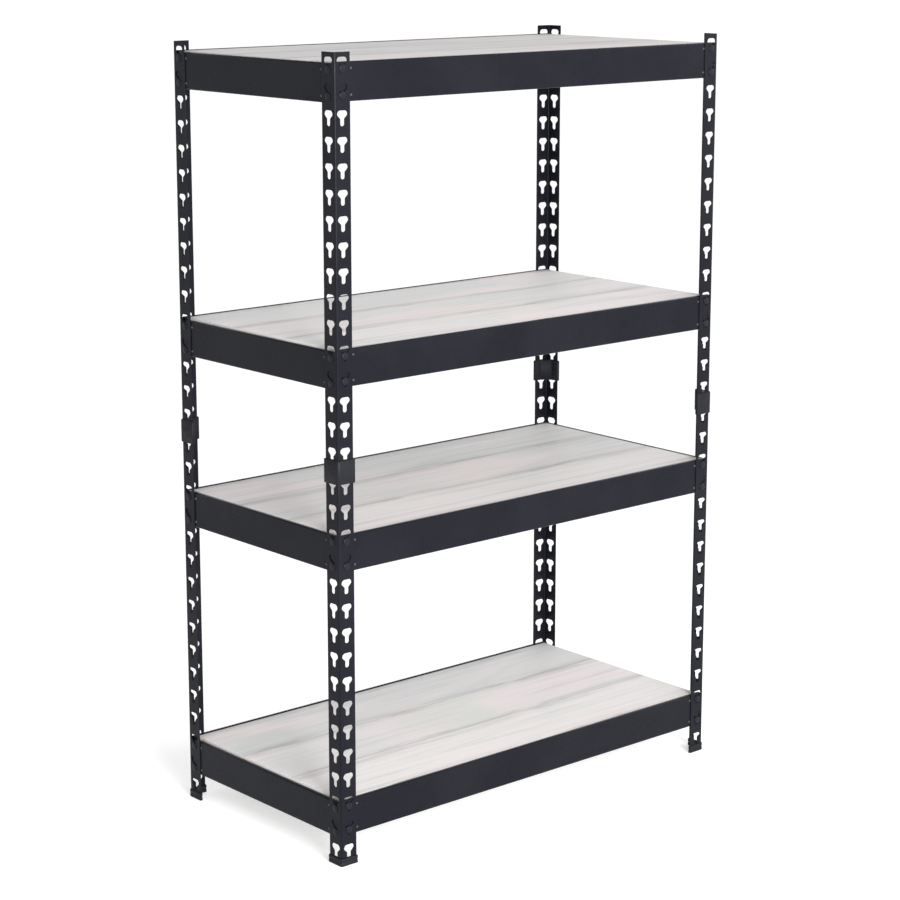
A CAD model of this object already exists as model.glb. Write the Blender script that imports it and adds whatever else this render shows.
import math

import bmesh
import bpy
from mathutils import Matrix, Vector
from mathutils.geometry import tessellate_polygon


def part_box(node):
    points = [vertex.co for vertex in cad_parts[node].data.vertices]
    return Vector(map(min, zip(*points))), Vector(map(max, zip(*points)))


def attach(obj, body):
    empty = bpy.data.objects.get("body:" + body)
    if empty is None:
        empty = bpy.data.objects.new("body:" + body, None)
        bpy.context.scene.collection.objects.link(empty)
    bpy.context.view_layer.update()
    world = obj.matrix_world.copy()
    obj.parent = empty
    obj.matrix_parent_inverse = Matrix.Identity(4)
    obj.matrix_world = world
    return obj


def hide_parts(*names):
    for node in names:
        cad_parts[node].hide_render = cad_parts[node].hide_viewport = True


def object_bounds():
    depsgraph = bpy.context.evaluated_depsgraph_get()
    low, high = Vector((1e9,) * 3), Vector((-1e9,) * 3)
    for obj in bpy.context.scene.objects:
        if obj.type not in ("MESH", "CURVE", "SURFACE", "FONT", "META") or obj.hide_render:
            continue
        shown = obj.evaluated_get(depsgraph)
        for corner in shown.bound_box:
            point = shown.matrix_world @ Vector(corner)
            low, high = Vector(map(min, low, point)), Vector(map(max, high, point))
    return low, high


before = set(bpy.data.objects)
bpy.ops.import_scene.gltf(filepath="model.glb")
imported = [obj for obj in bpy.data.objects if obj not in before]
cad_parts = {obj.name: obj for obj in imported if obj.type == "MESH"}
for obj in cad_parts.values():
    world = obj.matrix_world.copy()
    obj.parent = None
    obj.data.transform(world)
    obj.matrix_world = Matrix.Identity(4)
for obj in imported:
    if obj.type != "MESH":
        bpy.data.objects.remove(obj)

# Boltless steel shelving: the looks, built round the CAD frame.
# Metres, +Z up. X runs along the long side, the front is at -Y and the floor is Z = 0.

cad_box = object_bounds()

# ---- Sizes -----------------------------------------------------------------------------------

MM = 0.001
CLEARANCE = 0.3 * MM

POST_STEEL = 1.4 * MM
POST_BEND = 3 * MM
KEYHOLES = 16
KEYHOLE_CENTRE = 14.5 * MM  # from the post's outer corner
FIRST_KEYHOLE_DROP = 7.1 * MM
# Half a keyhole from its top: distance from the middle, drop, and the corner's radius.
KEYHOLE_SIDE = [(9.4 * MM, 0, 5.2 * MM), (9.4 * MM, 6.6 * MM, 2.4 * MM),
                (3.8 * MM, 12 * MM, 1.2 * MM), (3.8 * MM, 22.6 * MM, 3.3 * MM)]

BEAM_STEEL = 1.2 * MM
BEAM_BEND = 2.2 * MM
BEAM_LIP = 7 * MM
BEAM_LEDGE = 12 * MM
BEAM_FOOT = 9 * MM
BEAM_END_GAP = 5 * MM
BEAM_WEB_SET = POST_STEEL + CLEARANCE  # from a post's outer face to a beam's web
RIVET_MARGIN = 9.525 * MM
RIVET_SPACING = 38.1 * MM
RIVET_HEAD_RADIUS = 5.8 * MM
RIVET_HEAD_DOME = 1.3 * MM
RIVET_HEAD_EDGE = 0.3 * MM  # how thick the head is at its rim
RIVET_UNDERSIDE_RADIUS = 5.6 * MM
RIVET_SHANK_RADIUS = 3.3 * MM
# The rivet's formed end inside the web: radius and height.
RIVET_TAIL = [(4.7 * MM, 0), (4.9 * MM, 0.4 * MM), (4.2 * MM, 1.0 * MM), (0, 1.1 * MM)]
RIVET_SIDES = 24
NUB_CENTRE = 31.8 * MM  # from the post's outer corner
NUB_RADIUS = 2 * MM
NUB_HEIGHT = 1.5 * MM
NUB_SIDES = 16
CUT_BACK_MARGIN = 1 * MM  # how far a short beam's cut-backs run onto the flat of its web

COUPLER_WEB = 10 * MM
COUPLER_DROP = 3 * MM  # the coupler's middle below the middle of its web
COUPLER_WALL = 2 * MM
COUPLER_GUSSET = 13 * MM
COUPLER_CHAMFER = 0.9 * MM
FOOT_FLOOR = 2 * MM
FOOT_WALL = 1.4 * MM
FOOT_GUSSET = 4 * MM
FOOT_CHAMFER = 0.5 * MM
FOOT_GROOVE = 0.6 * MM
SLOT_CHAMFER = 0.3 * MM
SLOT_CORNER = 0.3 * MM

BOARD_DROP = 0.8 * MM  # from a long beam's lip to the board's top
BOARD_THICKNESS = 12 * MM
BOARD_ARRIS = 0.5 * MM
BOARD_CORNER = 1 * MM
BOARD_SHADES = [1.02, 1.02, 1.15, 0.95]  # how light the wood print of each shelf's board is
PLANK_WIDTH = 127 * MM
PLANK_AT_MIDDLE = 11.5  # the board's middle, counted in planks, so that the counts stay above zero
FRONT_PLANK, REAR_PLANK = 10, 12

STEEL_RIM = 0.25 * MM  # how far a cut edge of sheet steel is rounded
COAT_DARK = (0.0061, 0.0064, 0.0091, 1)
COAT_MIDDLE = (0.0071, 0.0074, 0.0102, 1)
COAT_LIGHT = (0.0081, 0.0084, 0.0114, 1)
BEND_STEPS = 6
ARC_STEPS = 5

CORNERS = {"front_left": 0, "front_right": 1, "rear_right": 2, "rear_left": 3}  # quarter turns
SIDES = {"front": 0, "right": 1, "rear": 2, "left": 3}
SHELVES = [f"shelf_{number}" for number in (1, 2, 3, 4)]


# ---- Camera ----------------------------------------------------------------------------------

def add_camera():
    """A long lens that looks at the rack from above its front left corner."""
    azimuth, elevation = math.radians(-41.08), math.radians(11.87)
    distance = 3.933
    aim = Vector((-0.0038, 0.0033, 0.6198))
    back = Vector((math.sin(azimuth) * math.cos(elevation),
                   -math.cos(azimuth) * math.cos(elevation),
                   math.sin(elevation)))
    lens = bpy.data.cameras.new("camera")
    lens.lens = 95.8
    lens.shift_y = -0.04
    camera = bpy.data.objects.new("camera", lens)
    camera.location = aim + distance * back
    camera.rotation_euler = (-back).to_track_quat("-Z", "Y").to_euler()
    bpy.context.scene.collection.objects.link(camera)
    bpy.context.scene.camera = camera


# ---- Outlines and meshes ---------------------------------------------------------------------

def rounded(corners, steps=ARC_STEPS):
    """An outline through corners (x, y, radius), each rounded to its radius."""
    outline = []
    for before, corner, after in zip(corners[-1:] + corners[:-1], corners, corners[1:] + corners[:1]):
        at, radius = Vector(corner[:2]), corner[2]
        if radius == 0:
            outline.append(at)
            continue
        to_before = (Vector(before[:2]) - at).normalized()
        to_after = (Vector(after[:2]) - at).normalized()
        half = to_before.angle(to_after) / 2
        start = at + to_before * radius / math.tan(half)
        end = at + to_after * radius / math.tan(half)
        centre = at + (to_before + to_after).normalized() * radius / math.sin(half)
        turn = (end - centre).angle_signed(start - centre)
        for step in range(steps + 1):
            spoke = start - centre
            spoke.rotate(Matrix.Rotation(turn * step / steps, 2))
            outline.append(centre + spoke)
    return outline


def inwards(loop):
    """How each point of a closed loop moves when the side on the loop's left shrinks by 1."""
    moves = []
    for before, at, after in zip(loop[-1:] + loop[:-1], loop, loop[1:] + loop[:1]):
        first, second = (at - before).normalized(), (after - at).normalized()
        left = Vector((-first.y, first.x)) + Vector((-second.y, second.x))
        moves.append(left / (1 + first.dot(second)))
    return moves


def triangles(outline, holes=()):
    """Triangles that fill an outline, as places in outline + holes."""
    loops = [outline, *holes]
    flat = [point for loop in loops for point in loop]
    filled = tessellate_polygon([[Vector((p.x, p.y, 0)) for p in loop] for loop in loops])
    made = []
    for a, b, c in filled:
        if abs((flat[b] - flat[a]).cross(flat[c] - flat[a])) > 1e-14:
            made.append((a, b, c))
    return made


def rim(low, high, radius):
    """(height, inset) pairs of a wall from low to high with both its edges rounded."""
    cut = radius * (1 - math.sqrt(0.5))
    return [(low, radius), (low + cut, cut), (low + radius, 0),
            (high - radius, 0), (high - cut, cut), (high, radius)]


def add_piece(name, mesh, material, body, nodes=()):
    """Turns a bmesh into a piece that rides on a body and stands for CAD nodes."""
    bmesh.ops.recalc_face_normals(mesh, faces=mesh.faces)
    data = bpy.data.meshes.new(name)
    mesh.to_mesh(data)
    mesh.free()
    data.materials.append(material)
    piece = bpy.data.objects.new(name, data)
    bpy.context.scene.collection.objects.link(piece)
    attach(piece, body)
    if nodes:
        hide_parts(*nodes)
    return piece


class Fold:
    """A path of straights and bends that a flat sheet follows, with the steel on its right."""

    def __init__(self, start, heading, parts):
        """parts are (length, 0) for a straight and (radius, degrees) for a bend, left is positive."""
        self.parts = []
        self.lines = [0.0]  # where the flat sheet is creased
        self.flats = []  # (from, to) of each straight
        at, heading, done = Vector(start), Vector(heading), 0.0
        for size, degrees in parts:
            turn = math.radians(degrees)
            length = size * abs(turn) if turn else size
            self.parts.append((done, length, at, heading, size, turn))
            steps = BEND_STEPS if turn else 1
            self.lines += [done + length * step / steps for step in range(1, steps + 1)]
            if not turn:
                self.flats.append((done, done + length))
            done += length
            at, heading = self.follow(self.parts[-1], done)
        self.length = done

    @staticmethod
    def follow(part, along):
        """The point and the heading at a distance along the path."""
        begin, length, start, heading, size, turn = part
        if not turn:
            return start + heading * (along - begin), heading
        side = math.copysign(size, turn)
        angle = turn * (along - begin) / length
        now = heading.copy()
        now.rotate(Matrix.Rotation(angle, 2))
        centre = start + Vector((-heading.y, heading.x)) * side
        return centre - Vector((-now.y, now.x)) * side, now

    def at(self, along, depth):
        """Where a point of the sheet lies, depth below the outer face."""
        part = next((p for p in self.parts if along < p[0] + p[1]), self.parts[-1])
        point, heading = self.follow(part, along)
        return point + Vector((heading.y, -heading.x)) * depth

    def is_flat(self, low, high):
        return any(a - 1e-7 <= low and high <= b + 1e-7 for a, b in self.flats)


def fold_sheet(points, loops, cells, steel, place):
    """A plate with holes and rounded rims, bent into shape by place(along, across, depth).

    points are (along, across) on the flat sheet. loops are its rims, with the steel on their left.
    cells are (outline, holes, bent) in places of points, and cover the sheet.
    """
    mesh = bmesh.new()
    layers = rim(0, steel, STEEL_RIM)
    moves = {}
    for loop in loops:
        moves.update(zip(loop, inwards([points[number] for number in loop])))
    columns = []
    for number, flat in enumerate(points):
        move = moves.get(number)
        levels = layers if move else (layers[0], layers[-1])
        spots = [(flat + move * inset if move else flat, depth) for depth, inset in levels]
        columns.append([mesh.verts.new(place(spot.x, spot.y, depth)) for spot, depth in spots])
    for loop in loops:
        for a, b in zip(loop, loop[1:] + loop[:1]):
            for level in range(len(layers) - 1):
                above = level + 1
                corners = (columns[a][level], columns[b][level], columns[b][above], columns[a][above])
                mesh.faces.new(corners).smooth = True
    for outline, holes, bent in cells:
        flat = [points[number] for number in outline]
        gaps = [[points[number] for number in hole] for hole in holes]
        numbers = list(outline) + [number for hole in holes for number in hole]
        if len(numbers) == 4:
            patches = [(0, 1, 2, 3)]
        else:
            patches = triangles(flat, gaps)
        for patch in patches:
            for level in (0, -1):
                mesh.faces.new([columns[numbers[spot]][level] for spot in patch]).smooth = bent
    return mesh


# ---- Materials -------------------------------------------------------------------------------

class Finish:
    """A material's node tree, with short calls to add and join nodes."""

    def __init__(self, name, **shader):
        self.material = bpy.data.materials.new(name)
        self.material.use_nodes = True
        self.tree = self.material.node_tree
        self.shader = self.tree.nodes["Principled BSDF"]
        self.place = self.node("TexCoord").outputs["Object"]
        for socket, value in shader.items():
            self.feed(self.shader.inputs[socket.replace("_", " ")], value)

    def node(self, kind, sockets=None, **settings):
        made = self.tree.nodes.new("ShaderNode" + kind)
        for name, value in settings.items():
            setattr(made, name, value)
        for name, value in (sockets or {}).items():
            self.feed(made.inputs[name], value)
        return made

    def feed(self, socket, value):
        if isinstance(value, bpy.types.NodeSocket):
            self.tree.links.new(value, socket)
        else:
            socket.default_value = value

    def maths(self, operation, first, second=0.0, third=0.0):
        return self.node("Math", {0: first, 1: second, 2: third}, operation=operation).outputs[0]

    def stretch(self, scale, shift=(0, 0, 0)):
        """The place on the piece, scaled and shifted."""
        sockets = {"Vector": self.place, "Scale": scale, "Location": shift}
        return self.node("Mapping", sockets).outputs[0]

    def noise(self, scale, detail=2.0, roughness=0.5, vector=None, distortion=0.0):
        sockets = {"Vector": vector or self.place, "Scale": scale, "Detail": detail,
                   "Roughness": roughness, "Distortion": distortion}
        return self.node("TexNoise", sockets).outputs[0]

    def span(self, value, low, high, to_low=0.0, to_high=1.0):
        """value, with low to high spread over to_low to to_high."""
        sockets = {"Value": value, 1: low, 2: high, 3: to_low, 4: to_high}
        return self.node("MapRange", sockets, interpolation_type="SMOOTHSTEP").outputs[0]

    def mix(self, share, first, second, blend="MIX"):
        """A colour between first and second."""
        made = self.node("Mix", data_type="RGBA", blend_type=blend)
        self.feed(made.inputs[0], share)
        self.feed(made.inputs[6], first)
        self.feed(made.inputs[7], second)
        return made.outputs[2]

    def bump(self, height, depth, under=None):
        """A bump of a height from 0 to 1 that is depth metres deep."""
        sockets = {"Height": height, "Distance": depth, "Strength": 1.0}
        if under:
            sockets["Normal"] = under
        return self.node("Bump", sockets).outputs[0]

    def paint(self, colour=None, roughness=None, normal=None):
        for name, value in (("Base Color", colour), ("Roughness", roughness), ("Normal", normal)):
            if value is not None:
                self.feed(self.shader.inputs[name], value)
        return self.material


def grey(red, green, blue):
    """A colour from sRGB values of 0 to 255."""
    def linear(value):
        value /= 255
        return value / 12.92 if value <= 0.04045 else ((value + 0.055) / 1.055) ** 2.4
    return (linear(red), linear(green), linear(blue), 1)


def powder_coat():
    """Black semi-matt powder coat: fine orange peel, and slightly uneven gloss."""
    finish = Finish("powder_coat", Specular_IOR_Level=0.09, Specular_Tint=(0.86, 0.9, 1, 1))
    cloud = finish.noise(9, 3)
    colour = finish.mix(finish.span(cloud, 0.35, 0.65), COAT_DARK, COAT_LIGHT)
    peel = finish.noise(620, 1.5)
    grain = finish.noise(2600, 2)
    normal = finish.bump(peel, 0.00007)
    normal = finish.bump(grain, 0.000015, normal)
    rub = finish.noise(45, 4, 0.65)
    return finish.paint(colour, finish.span(rub, 0.3, 0.7, 0.25, 0.33), normal)


def worn_coat(name, wear, gloss):
    """Powder coat that is rubbed thin over the steel, in patches."""
    finish = Finish(name, Specular_IOR_Level=gloss, Specular_Tint=(0.88, 0.92, 1, 1))
    patches = finish.noise(380, 3)
    share = finish.span(patches, 0.4, 0.6, wear / 2, wear)
    colour = finish.mix(share, COAT_MIDDLE, grey(112, 114, 119))
    return finish.paint(colour, finish.span(patches, 0.3, 0.7, 0.34, 0.42), finish.bump(patches, 0.00004))


def moulded_plastic():
    """Black plastic with a fine spark-eroded grain."""
    finish = Finish("moulded_plastic", Specular_IOR_Level=0.2, Specular_Tint=(0.88, 0.92, 1, 1))
    colour = finish.mix(finish.noise(30, 3), (0.005, 0.0052, 0.0068, 1), (0.0066, 0.0068, 0.0085, 1))
    normal = finish.bump(finish.noise(1500, 3), 0.00005)
    return finish.paint(colour, finish.span(finish.noise(120, 3), 0.3, 0.7, 0.5, 0.62), normal)


def laminate(number):
    """Whitewashed wood print: three planks along the board, with dark wispy seams."""
    finish = Finish(f"wood_print_{number}", Specular_IOR_Level=0.16)
    shift = 3.7 * number
    split = finish.node("SeparateXYZ", {"Vector": finish.place})
    across = finish.maths("MULTIPLY_ADD", split.outputs["Y"], 1 / PLANK_WIDTH, PLANK_AT_MIDDLE)
    wander = finish.noise(3.2, 3, vector=finish.stretch((1, 0, 0), (shift, 0, 0)))
    across = finish.maths("MULTIPLY_ADD", wander, 0.05, across)
    plank = finish.maths("FLOOR", across)
    inside = finish.maths("FRACT", across)
    tone = finish.node("TexWhiteNoise", {"W": finish.maths("ADD", plank, shift)}, noise_dimensions="1D")
    forward = finish.span(plank, REAR_PLANK, FRONT_PLANK, 0, 0.7)
    tone = finish.maths("MULTIPLY_ADD", tone.outputs["Value"], 0.3, forward)
    offset = finish.node("CombineXYZ", {"X": finish.maths("MULTIPLY", plank, 1.31), "Y": 0.0, "Z": 0.0})
    along = finish.node("VectorMath", {0: finish.place, 1: offset.outputs[0]}, operation="ADD").outputs[0]

    def streaks(x_scale, y_scale, detail, roughness, distortion=0.0):
        vector = finish.node("Mapping", {"Vector": along, "Scale": (x_scale, y_scale, 1),
                                         "Location": (shift, shift, 0)}).outputs[0]
        return finish.noise(1, detail, roughness, vector, distortion)

    fibre = streaks(9, 620, 3, 0.6)
    grain = streaks(2.4, 120, 6, 0.62, 0.3)
    figure = streaks(1.6, 26, 5, 0.6, 1.1)
    wash = streaks(2.2, 9, 3, 0.5, 0.6)
    moss = streaks(3.1, 7, 2, 0.5, 0.9)
    wisps = streaks(5.5, 60, 6, 0.7, 0.8)

    colour = finish.mix(tone, grey(186, 187, 188), grey(211, 208, 207))
    colour = finish.mix(finish.span(wash, 0.4, 0.68, 0, 0.8), colour, grey(214, 203, 204))
    colour = finish.mix(finish.span(moss, 0.5, 0.7, 0, 0.6), colour, grey(192, 196, 191))
    colour = finish.mix(finish.span(figure, 0.5, 0.74, 0, 0.5), colour, grey(166, 165, 167))
    colour = finish.mix(finish.span(grain, 0.5, 0.75, 0, 0.3), colour, grey(154, 151, 151))
    colour = finish.mix(finish.span(fibre, 0.35, 0.7, 0, 0.16), colour, grey(222, 221, 220))
    edge = finish.maths("MINIMUM", inside, finish.maths("SUBTRACT", 1.0, inside))
    seam = finish.span(edge, 0.0, 0.17, 1, 0)
    seam = finish.maths("MULTIPLY", seam, finish.span(wisps, 0.4, 0.68, 0.12, 1))
    colour = finish.mix(finish.maths("MULTIPLY", seam, 0.55), colour, grey(116, 112, 111))
    joint = finish.maths("MULTIPLY", finish.span(edge, 0.0, 0.016, 1, 0), 0.2)
    colour = finish.mix(joint, colour, grey(88, 84, 83))
    shade = BOARD_SHADES[number - 1]
    colour = finish.mix(1.0, colour, (shade, shade, shade, 1), "MULTIPLY")
    normal = finish.bump(grain, 0.00006)
    return finish.paint(colour, finish.span(grain, 0.3, 0.7, 0.52, 0.66), normal)


def particle_core():
    """The cut edge of a particle board: pressed chips."""
    finish = Finish("particle_core", Specular_IOR_Level=0.25)
    chips = finish.node("TexVoronoi", {"Vector": finish.stretch((1, 1, 2.2)), "Scale": 420.0})
    colour = finish.mix(finish.noise(700, 3), grey(204, 202, 199), grey(216, 214, 211))
    gaps = finish.span(chips.outputs["Distance"], 0.2, 0.9, 0, 0.3)
    colour = finish.mix(gaps, colour, grey(186, 183, 178))
    normal = finish.bump(chips.outputs["Distance"], 0.0003)
    return finish.paint(colour, finish.span(finish.noise(300), 0.3, 0.7, 0.75, 0.9), normal)


def board_back():
    """The plain paper on a board's underside."""
    finish = Finish("board_back", Specular_IOR_Level=0.25)
    colour = finish.mix(finish.noise(260, 5, 0.7), grey(178, 176, 172), grey(197, 195, 191))
    colour = finish.mix(finish.span(finish.noise(14, 3), 0.4, 0.7, 0, 0.35), colour, grey(170, 167, 162))
    normal = finish.bump(finish.noise(900, 3), 0.00006)
    return finish.paint(colour, finish.span(finish.noise(80), 0.3, 0.7, 0.62, 0.74), normal)


# ---- Posts -----------------------------------------------------------------------------------

def keyhole():
    """A keyhole's outline with its top at the origin, clockwise."""
    right = [(x, -drop, radius) for x, drop, radius in KEYHOLE_SIDE]
    left = [(-x, drop, radius) for x, drop, radius in reversed(right)]
    return rounded(right + left)


def half_post(length, leg):
    """A post with its outer corner on the Z axis and its flanges along +X and +Y."""
    fold = Fold((leg, 0), (-1, 0), [(leg - POST_BEND, 0), (POST_BEND, -90), (leg - POST_BEND, 0)])
    pitch = length / KEYHOLES
    rows = KEYHOLES + 1
    points = [Vector((along, row * pitch)) for along in fold.lines for row in range(rows)]
    last = len(fold.lines) - 1

    def spot(line, row):
        return line * rows + row

    outside = [spot(line, 0) for line in range(last + 1)]
    outside += [spot(last, row) for row in range(1, rows)]
    outside += [spot(line, KEYHOLES) for line in reversed(range(last))]
    outside += [spot(0, row) for row in reversed(range(1, KEYHOLES))]
    loops = [outside]
    cells = []
    shape = keyhole()
    for line in range(last):
        for row in range(KEYHOLES):
            outline = [spot(line, row), spot(line + 1, row), spot(line + 1, row + 1), spot(line, row + 1)]
            flat = fold.is_flat(fold.lines[line], fold.lines[line + 1])
            holes = []
            if flat:
                middle = leg - KEYHOLE_CENTRE if line == 0 else fold.length - leg + KEYHOLE_CENTRE
                top = Vector((middle, (row + 1) * pitch - FIRST_KEYHOLE_DROP))
                holes = [list(range(len(points), len(points) + len(shape)))]
                points += [top + corner for corner in shape]
                loops += holes
            cells.append((outline, holes, not flat))

    def place(along, across, depth):
        at = fold.at(along, depth)
        return (at.x, at.y, across)

    return fold_sheet(points, loops, cells, POST_STEEL, place)


def corner_turn(corner):
    """The matrix that takes a corner piece from the Z axis to its corner of the rack."""
    low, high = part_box(f"post_{corner}_lower")
    across = low if "left" in corner else high
    deep = low if "front" in corner else high
    turn = Matrix.Rotation(CORNERS[corner] * math.pi / 2, 4, "Z")
    return Matrix.Translation((across.x, deep.y, 0)) @ turn


def add_posts(steel):
    for corner in CORNERS:
        for half in ("lower", "upper"):
            node = f"post_{corner}_{half}"
            low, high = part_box(node)
            mesh = half_post(high.z - low.z, high.x - low.x)
            mesh.transform(Matrix.Translation((0, 0, low.z)) @ corner_turn(corner))
            add_piece(f"{node}_angle", mesh, steel, "root", [node])


# ---- Couplers and feet -----------------------------------------------------------------------

def sleeve_outline(leg, wall, gusset):
    """The outside of a sleeve round a post, with a diagonal web in its inner corner."""
    outer = -CLEARANCE - wall
    end = leg + CLEARANCE + wall
    inner = POST_STEEL + CLEARANCE + wall
    tip = 0.45 * (inner - outer) / 2  # the ends of the legs are almost half round
    return rounded([
        (outer, outer, POST_BEND + CLEARANCE + wall), (end, outer, tip), (end, inner, tip),
        (inner + gusset, inner, gusset / 5), (inner, inner + gusset, gusset / 5),
        (inner, end, tip), (outer, end, tip)])


def slot_outline(leg):
    """The slot that a post's end stands in."""
    near, far = -CLEARANCE, leg + CLEARANCE
    thick = POST_STEEL + CLEARANCE
    return rounded([
        (near, near, POST_BEND + CLEARANCE), (far, near, SLOT_CORNER), (far, thick, SLOT_CORNER),
        (thick, thick, POST_BEND - thick), (thick, far, SLOT_CORNER), (near, far, SLOT_CORNER)])


def add_rings(mesh, outline, levels):
    """A wall that follows an outline through (height, inset) levels. Returns its first and last rings."""
    moves = inwards(outline)
    rings = [[mesh.verts.new((*(at + move * inset), height)) for at, move in zip(outline, moves)]
             for height, inset in levels]
    for lower, upper in zip(rings, rings[1:]):
        for a in range(len(outline)):
            b = (a + 1) % len(outline)
            mesh.faces.new((lower[a], lower[b], upper[b], upper[a])).smooth = True
    return rings[0], rings[-1]


def add_cap(mesh, ring, hole=()):
    """Closes a ring, less a hole, with flat faces."""
    corners = [*ring, *hole]
    loops = [[Vector(vertex.co[:2]) for vertex in loop] for loop in (ring, hole) if loop]
    for patch in triangles(loops[0], loops[1:]):
        mesh.faces.new([corners[number] for number in patch])


def moulding(outline, levels, slot, floor=None, ceiling=None):
    """A block with walls through levels.

    A slot goes from its top down to floor, and another from its bottom up to ceiling.
    """
    mesh = bmesh.new()
    bottom, top = add_rings(mesh, outline, levels)
    low, high = levels[0][0], levels[-1][0]
    for cap, edge, end in ((bottom, low, ceiling), (top, high, floor)):
        if end is None:
            add_cap(mesh, cap)
            continue
        into = math.copysign(SLOT_CHAMFER, end - edge)
        inner, mouth = add_rings(mesh, slot, [(end, 0), (edge + into, 0), (edge, -SLOT_CHAMFER)])
        add_cap(mesh, cap, mouth)
        add_cap(mesh, inner)
    return mesh


def add_couplers(plastic):
    for corner in CORNERS:
        node = f"coupler_{corner}"
        low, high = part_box(node)
        leg = high.x - low.x - 2 * (COUPLER_WALL + CLEARANCE)
        middle = (low.z + high.z) / 2 + COUPLER_DROP
        levels = [(low.z, COUPLER_CHAMFER), (low.z + COUPLER_CHAMFER, 0),
                  (high.z - COUPLER_CHAMFER, 0), (high.z, COUPLER_CHAMFER)]
        outline = sleeve_outline(leg, COUPLER_WALL, COUPLER_GUSSET)
        mesh = moulding(outline, levels, slot_outline(leg),
                        floor=middle + COUPLER_WEB / 2, ceiling=middle - COUPLER_WEB / 2)
        mesh.transform(corner_turn(corner))
        add_piece(f"{node}_moulding", mesh, plastic, "root", [node])


def add_feet(plastic):
    for corner in CORNERS:
        node = f"foot_{corner}"
        low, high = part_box(node)
        leg = high.x - low.x - 2 * (FOOT_WALL + CLEARANCE)
        middle = (low.z + high.z) / 2
        groove = [(middle - 2 * FOOT_GROOVE, 0), (middle - FOOT_GROOVE, FOOT_GROOVE),
                  (middle + FOOT_GROOVE, FOOT_GROOVE), (middle + 2 * FOOT_GROOVE, 0)]
        levels = [(low.z, FOOT_CHAMFER), (low.z + FOOT_CHAMFER, 0), *groove,
                  (high.z - FOOT_CHAMFER, 0), (high.z, FOOT_CHAMFER)]
        outline = sleeve_outline(leg, FOOT_WALL, FOOT_GUSSET)
        mesh = moulding(outline, levels, slot_outline(leg), floor=low.z + FOOT_FLOOR)
        mesh.transform(corner_turn(corner))
        add_piece(f"{node}_moulding", mesh, plastic, "root", [node])


# ---- Beams -----------------------------------------------------------------------------------

def beam_sheet(length, height, cut_backs):
    """A beam along X with its web's outer face at Y = 0 and its bottom at Z = 0.

    cut_backs are (how far along the folded strip, how much shorter each end is from there on).
    """
    ledge_top = height - BOARD_DROP - BOARD_THICKNESS - CLEARANCE
    inner_bend = BEAM_BEND - BEAM_STEEL
    fold = Fold((BEAM_FOOT, 0), (-1, 0), [
        (BEAM_FOOT - BEAM_BEND, 0), (BEAM_BEND, -90), (height - 2 * BEAM_BEND, 0), (BEAM_BEND, -90),
        (BEAM_LIP - 2 * BEAM_BEND, 0), (BEAM_BEND, -90), (height - ledge_top - BEAM_BEND - inner_bend, 0),
        (inner_bend, 90), (BEAM_LEDGE - inner_bend, 0)])
    edge = []  # the strip's end; the first stop has nothing before it and takes the first cut-back
    for stop in sorted(set(fold.lines) | {spot for spot, _ in cut_backs}):
        before = [short for spot, short in cut_backs if spot < max(stop, STEEL_RIM)]
        after = [short for spot, short in cut_backs if spot <= stop]
        edge.append(Vector((stop, before[-1])))
        if after[-1] != before[-1]:
            edge.append(Vector((stop, after[-1])))
    near = [Vector((p.x, p.y - length / 2)) for p in edge]
    far = [Vector((p.x, length / 2 - p.y)) for p in edge]
    points = near + far
    count = len(edge)
    outside = list(range(count)) + [count + number for number in reversed(range(count))]
    cells = []
    for low, high in zip(fold.lines, fold.lines[1:]):
        span = [number for number, p in enumerate(edge) if low - 1e-6 <= p.x <= high + 1e-6]
        outline = span + [count + number for number in reversed(span)]
        cells.append((outline, [], not fold.is_flat(low, high)))

    def place(along, across, depth):
        at = fold.at(along, depth)
        return (across, at.x, at.y)

    return fold_sheet(points, [outside], cells, BEAM_STEEL, place)


def short_cut_backs(height, rise):
    """Where a short beam is cut back so that it clears the long beams' lip and ledge."""
    past_lip = BEAM_WEB_SET + BEAM_LIP + CLEARANCE - BEAM_END_GAP
    past_ledge = past_lip + BEAM_LEDGE
    bend = BEAM_BEND * math.pi / 2
    web_start = BEAM_FOOT - BEAM_BEND + bend
    web_end = web_start + height - 2 * BEAM_BEND
    step_start = web_end + bend + BEAM_LIP - 2 * BEAM_BEND + bend
    ledge_drop = BOARD_DROP + BOARD_THICKNESS - rise - 2 * CLEARANCE - BEAM_BEND
    return [(0.0, past_ledge), (web_start + CUT_BACK_MARGIN, 0.0),
            (web_end - CUT_BACK_MARGIN, past_lip), (step_start + ledge_drop, past_ledge)]


def add_lathe(mesh, profile, sides, matrix, material=0):
    """Turns a profile of (radius, height), from axis to axis, about Z and moves it by matrix."""
    rings = []
    for radius, height in profile:
        if radius == 0:
            rings.append([mesh.verts.new(matrix @ Vector((0, 0, height)))])
            continue
        turns = [2 * math.pi * side / sides for side in range(sides)]
        rings.append([mesh.verts.new(matrix @ Vector((radius * math.cos(a), radius * math.sin(a), height)))
                      for a in turns])
    for lower, upper in zip(rings, rings[1:]):
        for a in range(sides):
            b = (a + 1) % sides
            corners = [lower[a % len(lower)], lower[b % len(lower)],
                       upper[b % len(upper)], upper[a % len(upper)]]
            face = mesh.faces.new(list(dict.fromkeys(corners)))
            face.smooth = True
            face.material_index = material


def dome(radius, height, steps=4):
    """A shallow dome's profile from its top down to its rim."""
    return [(radius * math.sin(math.pi / 2 * step / steps), height * math.cos(math.pi / 2 * step / steps))
            for step in range(steps + 1)]


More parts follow.
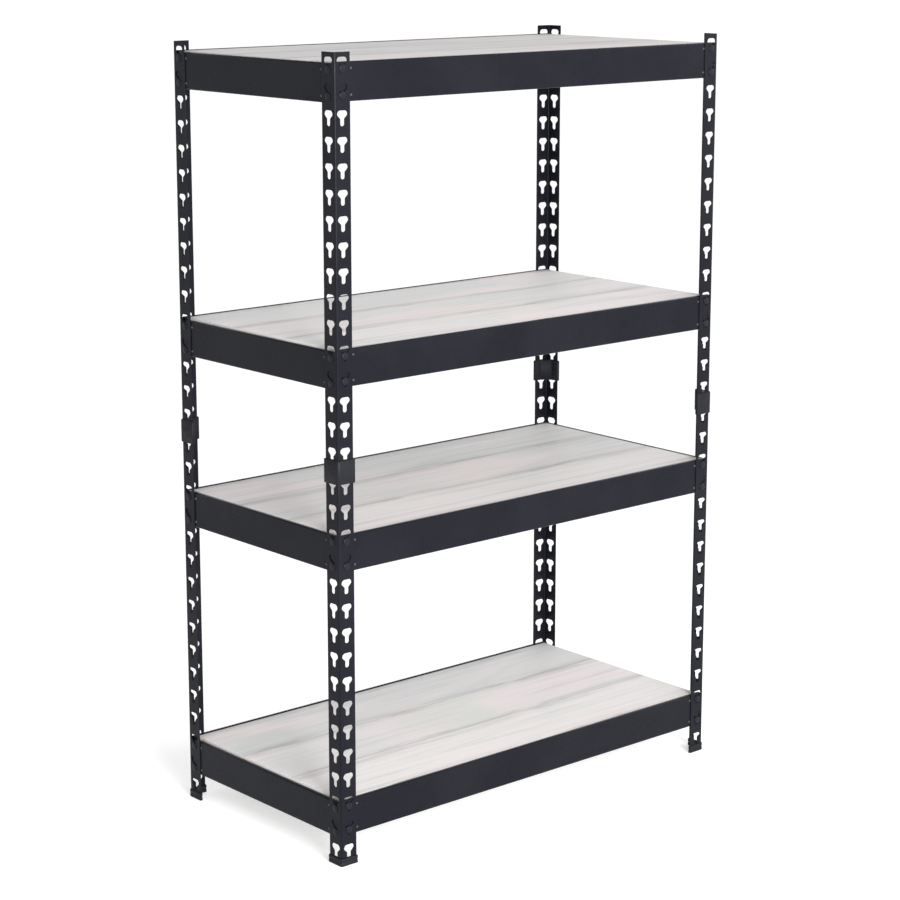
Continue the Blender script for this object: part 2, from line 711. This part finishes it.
def rivet_profile():
    """A rivet along Z: domed head outside the post, shank, and the formed end inside the web."""
    under_head = POST_STEEL + 2 * CLEARANCE
    head = [(radius, under_head + RIVET_HEAD_EDGE + height)
            for radius, height in dome(RIVET_HEAD_RADIUS, RIVET_HEAD_DOME, 5)]
    shank = [(RIVET_UNDERSIDE_RADIUS, under_head), (RIVET_SHANK_RADIUS, under_head),
             (RIVET_SHANK_RADIUS, -BEAM_STEEL)]
    tail = [(radius, -BEAM_STEEL - height) for radius, height in RIVET_TAIL]
    return head + shank + tail


def beam_place(side, width, depth, bottom):
    """The matrix that takes a beam from its own axes to its side of the rack."""
    turn = SIDES[side] * math.pi / 2
    reach = (depth if side in ("front", "rear") else width) / 2 - BEAM_WEB_SET
    return Matrix.Rotation(turn, 4, "Z") @ Matrix.Translation((0, -reach, bottom))


def add_beams(steel):
    """Folded beams with their rivets, and a small nub pressed out of the web beside each rivet."""
    rivet_coat, nub_coat = worn_coat("rivet_coat", 0.012, 0.12), worn_coat("nub_coat", 0.3, 0.25)
    left_post, right_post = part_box("post_front_left_lower"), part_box("post_rear_right_lower")
    width = right_post[1].x - left_post[0].x
    depth = right_post[1].y - left_post[0].y
    outwards = Matrix.Rotation(math.pi / 2, 4, "X")
    for shelf in SHELVES:
        long_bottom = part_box(f"{shelf}_front_beam")[0].z
        for side in SIDES:
            node = f"{shelf}_{side}_beam"
            low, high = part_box(node)
            span = width if side in ("front", "rear") else depth
            height = high.z - low.z
            cut_backs = short_cut_backs(height, long_bottom - low.z) if span == depth else [(0.0, 0.0)]
            place = beam_place(side, width, depth, low.z)
            sheet = beam_sheet(span - 2 * BEAM_END_GAP, height, cut_backs)
            rivets = bmesh.new()
            for end in (-1, 1):
                for up in (RIVET_MARGIN, RIVET_MARGIN + RIVET_SPACING):
                    rivet = Matrix.Translation((end * (span / 2 - KEYHOLE_CENTRE), 0, up)) @ outwards
                    add_lathe(rivets, rivet_profile(), RIVET_SIDES, rivet)
                    nub = Matrix.Translation((end * (span / 2 - NUB_CENTRE), 0, up)) @ outwards
                    add_lathe(sheet, dome(NUB_RADIUS, NUB_HEIGHT) + [(0, 0)], NUB_SIDES, nub, material=1)
            sheet.transform(place)
            rivets.transform(place)
            folded = add_piece(f"{node}_sheet", sheet, steel, shelf, [node])
            folded.data.materials.append(nub_coat)
            add_piece(f"{node}_rivets", rivets, rivet_coat, shelf)


# ---- Boards ----------------------------------------------------------------------------------

def board_mesh(low, high):
    """A board with its arrises just broken. Faces get material 0 on top, 1 on the edges and 2 below."""
    mesh = bmesh.new()
    arris = BOARD_ARRIS
    outline = rounded([(low.x, low.y, BOARD_CORNER), (high.x, low.y, BOARD_CORNER),
                       (high.x, high.y, BOARD_CORNER), (low.x, high.y, BOARD_CORNER)], steps=3)
    levels = [(low.z, arris), (low.z + arris / 2, arris / 4), (low.z + arris, 0),
              (high.z - arris, 0), (high.z - arris / 2, arris / 4), (high.z, arris)]
    bottom, top = add_rings(mesh, outline, levels)
    for face in mesh.faces:
        face.material_index = 1
        if face.calc_center_median().z > high.z - arris:
            face.material_index = 0
    below = mesh.faces.new(bottom)
    below.material_index = 2
    mesh.faces.new(top)
    return mesh


def add_boards():
    core, back = particle_core(), board_back()
    for number in (1, 2, 3, 4):
        node = f"shelf_{number}_deck"
        mesh = board_mesh(*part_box(node))
        board = add_piece(f"{node}_board", mesh, laminate(number), f"deck_{number}", [node])
        board.data.materials.append(core)
        board.data.materials.append(back)


# ---- Stage -----------------------------------------------------------------------------------

def add_floor():
    """A plain pale floor, far larger than the view."""
    finish = Finish("floor")
    finish.feed(finish.shader.inputs["Emission Strength"], 0.45)
    finish.feed(finish.shader.inputs["Emission Color"], (1, 1, 1, 1))
    pale = finish.mix(finish.noise(2, 3), (0.64, 0.64, 0.64, 1), (0.66, 0.66, 0.66, 1))
    mesh = bmesh.new()
    bmesh.ops.create_grid(mesh, x_segments=1, y_segments=1, size=40)
    data = bpy.data.meshes.new("floor")
    mesh.to_mesh(data)
    mesh.free()
    data.materials.append(finish.paint(pale, 0.9))
    floor = bpy.data.objects.new("floor", data)
    bpy.context.scene.collection.objects.link(floor)


def add_soft_light(name, azimuth, elevation, distance, size, power):
    """A square soft box that looks at the rack's middle. Azimuth 0 is in front of it."""
    a, e = math.radians(azimuth), math.radians(elevation)
    back = Vector((math.sin(a) * math.cos(e), -math.cos(a) * math.cos(e), math.sin(e)))
    light = bpy.data.lights.new(name, "AREA")
    light.size = size
    light.energy = power
    lamp = bpy.data.objects.new(name, light)
    lamp.location = (cad_box[0] + cad_box[1]) / 2 + distance * back
    lamp.rotation_euler = (-back).to_track_quat("-Z", "Y").to_euler()
    bpy.context.scene.collection.objects.link(lamp)


def add_lights():
    """A bright room that is dimmer overhead, and a soft box beside the camera."""
    world = bpy.data.worlds.new("studio")
    world.use_nodes = True
    tree = world.node_tree
    studio = tree.nodes["Background"]
    way = tree.nodes.new("ShaderNodeTexCoord")
    split = tree.nodes.new("ShaderNodeSeparateXYZ")
    fade = tree.nodes.new("ShaderNodeMapRange")
    turn = tree.nodes.new("ShaderNodeVectorMath")
    side = tree.nodes.new("ShaderNodeMath")
    total = tree.nodes.new("ShaderNodeMath")
    turn.operation, side.operation, total.operation = "DOT_PRODUCT", "ADD", "MULTIPLY"
    tree.links.new(way.outputs["Generated"], split.inputs[0])
    tree.links.new(way.outputs["Generated"], turn.inputs[0])
    tree.links.new(split.outputs["Z"], fade.inputs["Value"])
    tree.links.new(turn.outputs["Value"], side.inputs[0])
    tree.links.new(fade.outputs[0], total.inputs[0])
    tree.links.new(side.outputs[0], total.inputs[1])
    tree.links.new(total.outputs[0], studio.inputs["Strength"])
    turn.inputs[1].default_value = (0.36, -0.26, 0)
    side.inputs[1].default_value = 1
    studio.inputs["Color"].default_value = (1, 1, 1, 1)
    for socket, value in (("From Min", 0), ("From Max", 1), ("To Min", 1.75), ("To Max", 0.4)):
        fade.inputs[socket].default_value = value
    bpy.context.scene.world = world
    add_soft_light("key", -18, 12, 4.2, 1.7, 270)
    bpy.context.scene.view_settings.view_transform = "Standard"


# ---- Assembly --------------------------------------------------------------------------------

add_camera()
steel_finish = powder_coat()
plastic_finish = moulded_plastic()
add_posts(steel_finish)
add_couplers(plastic_finish)
add_feet(plastic_finish)
add_beams(steel_finish)
add_boards()
add_floor()
add_lights()
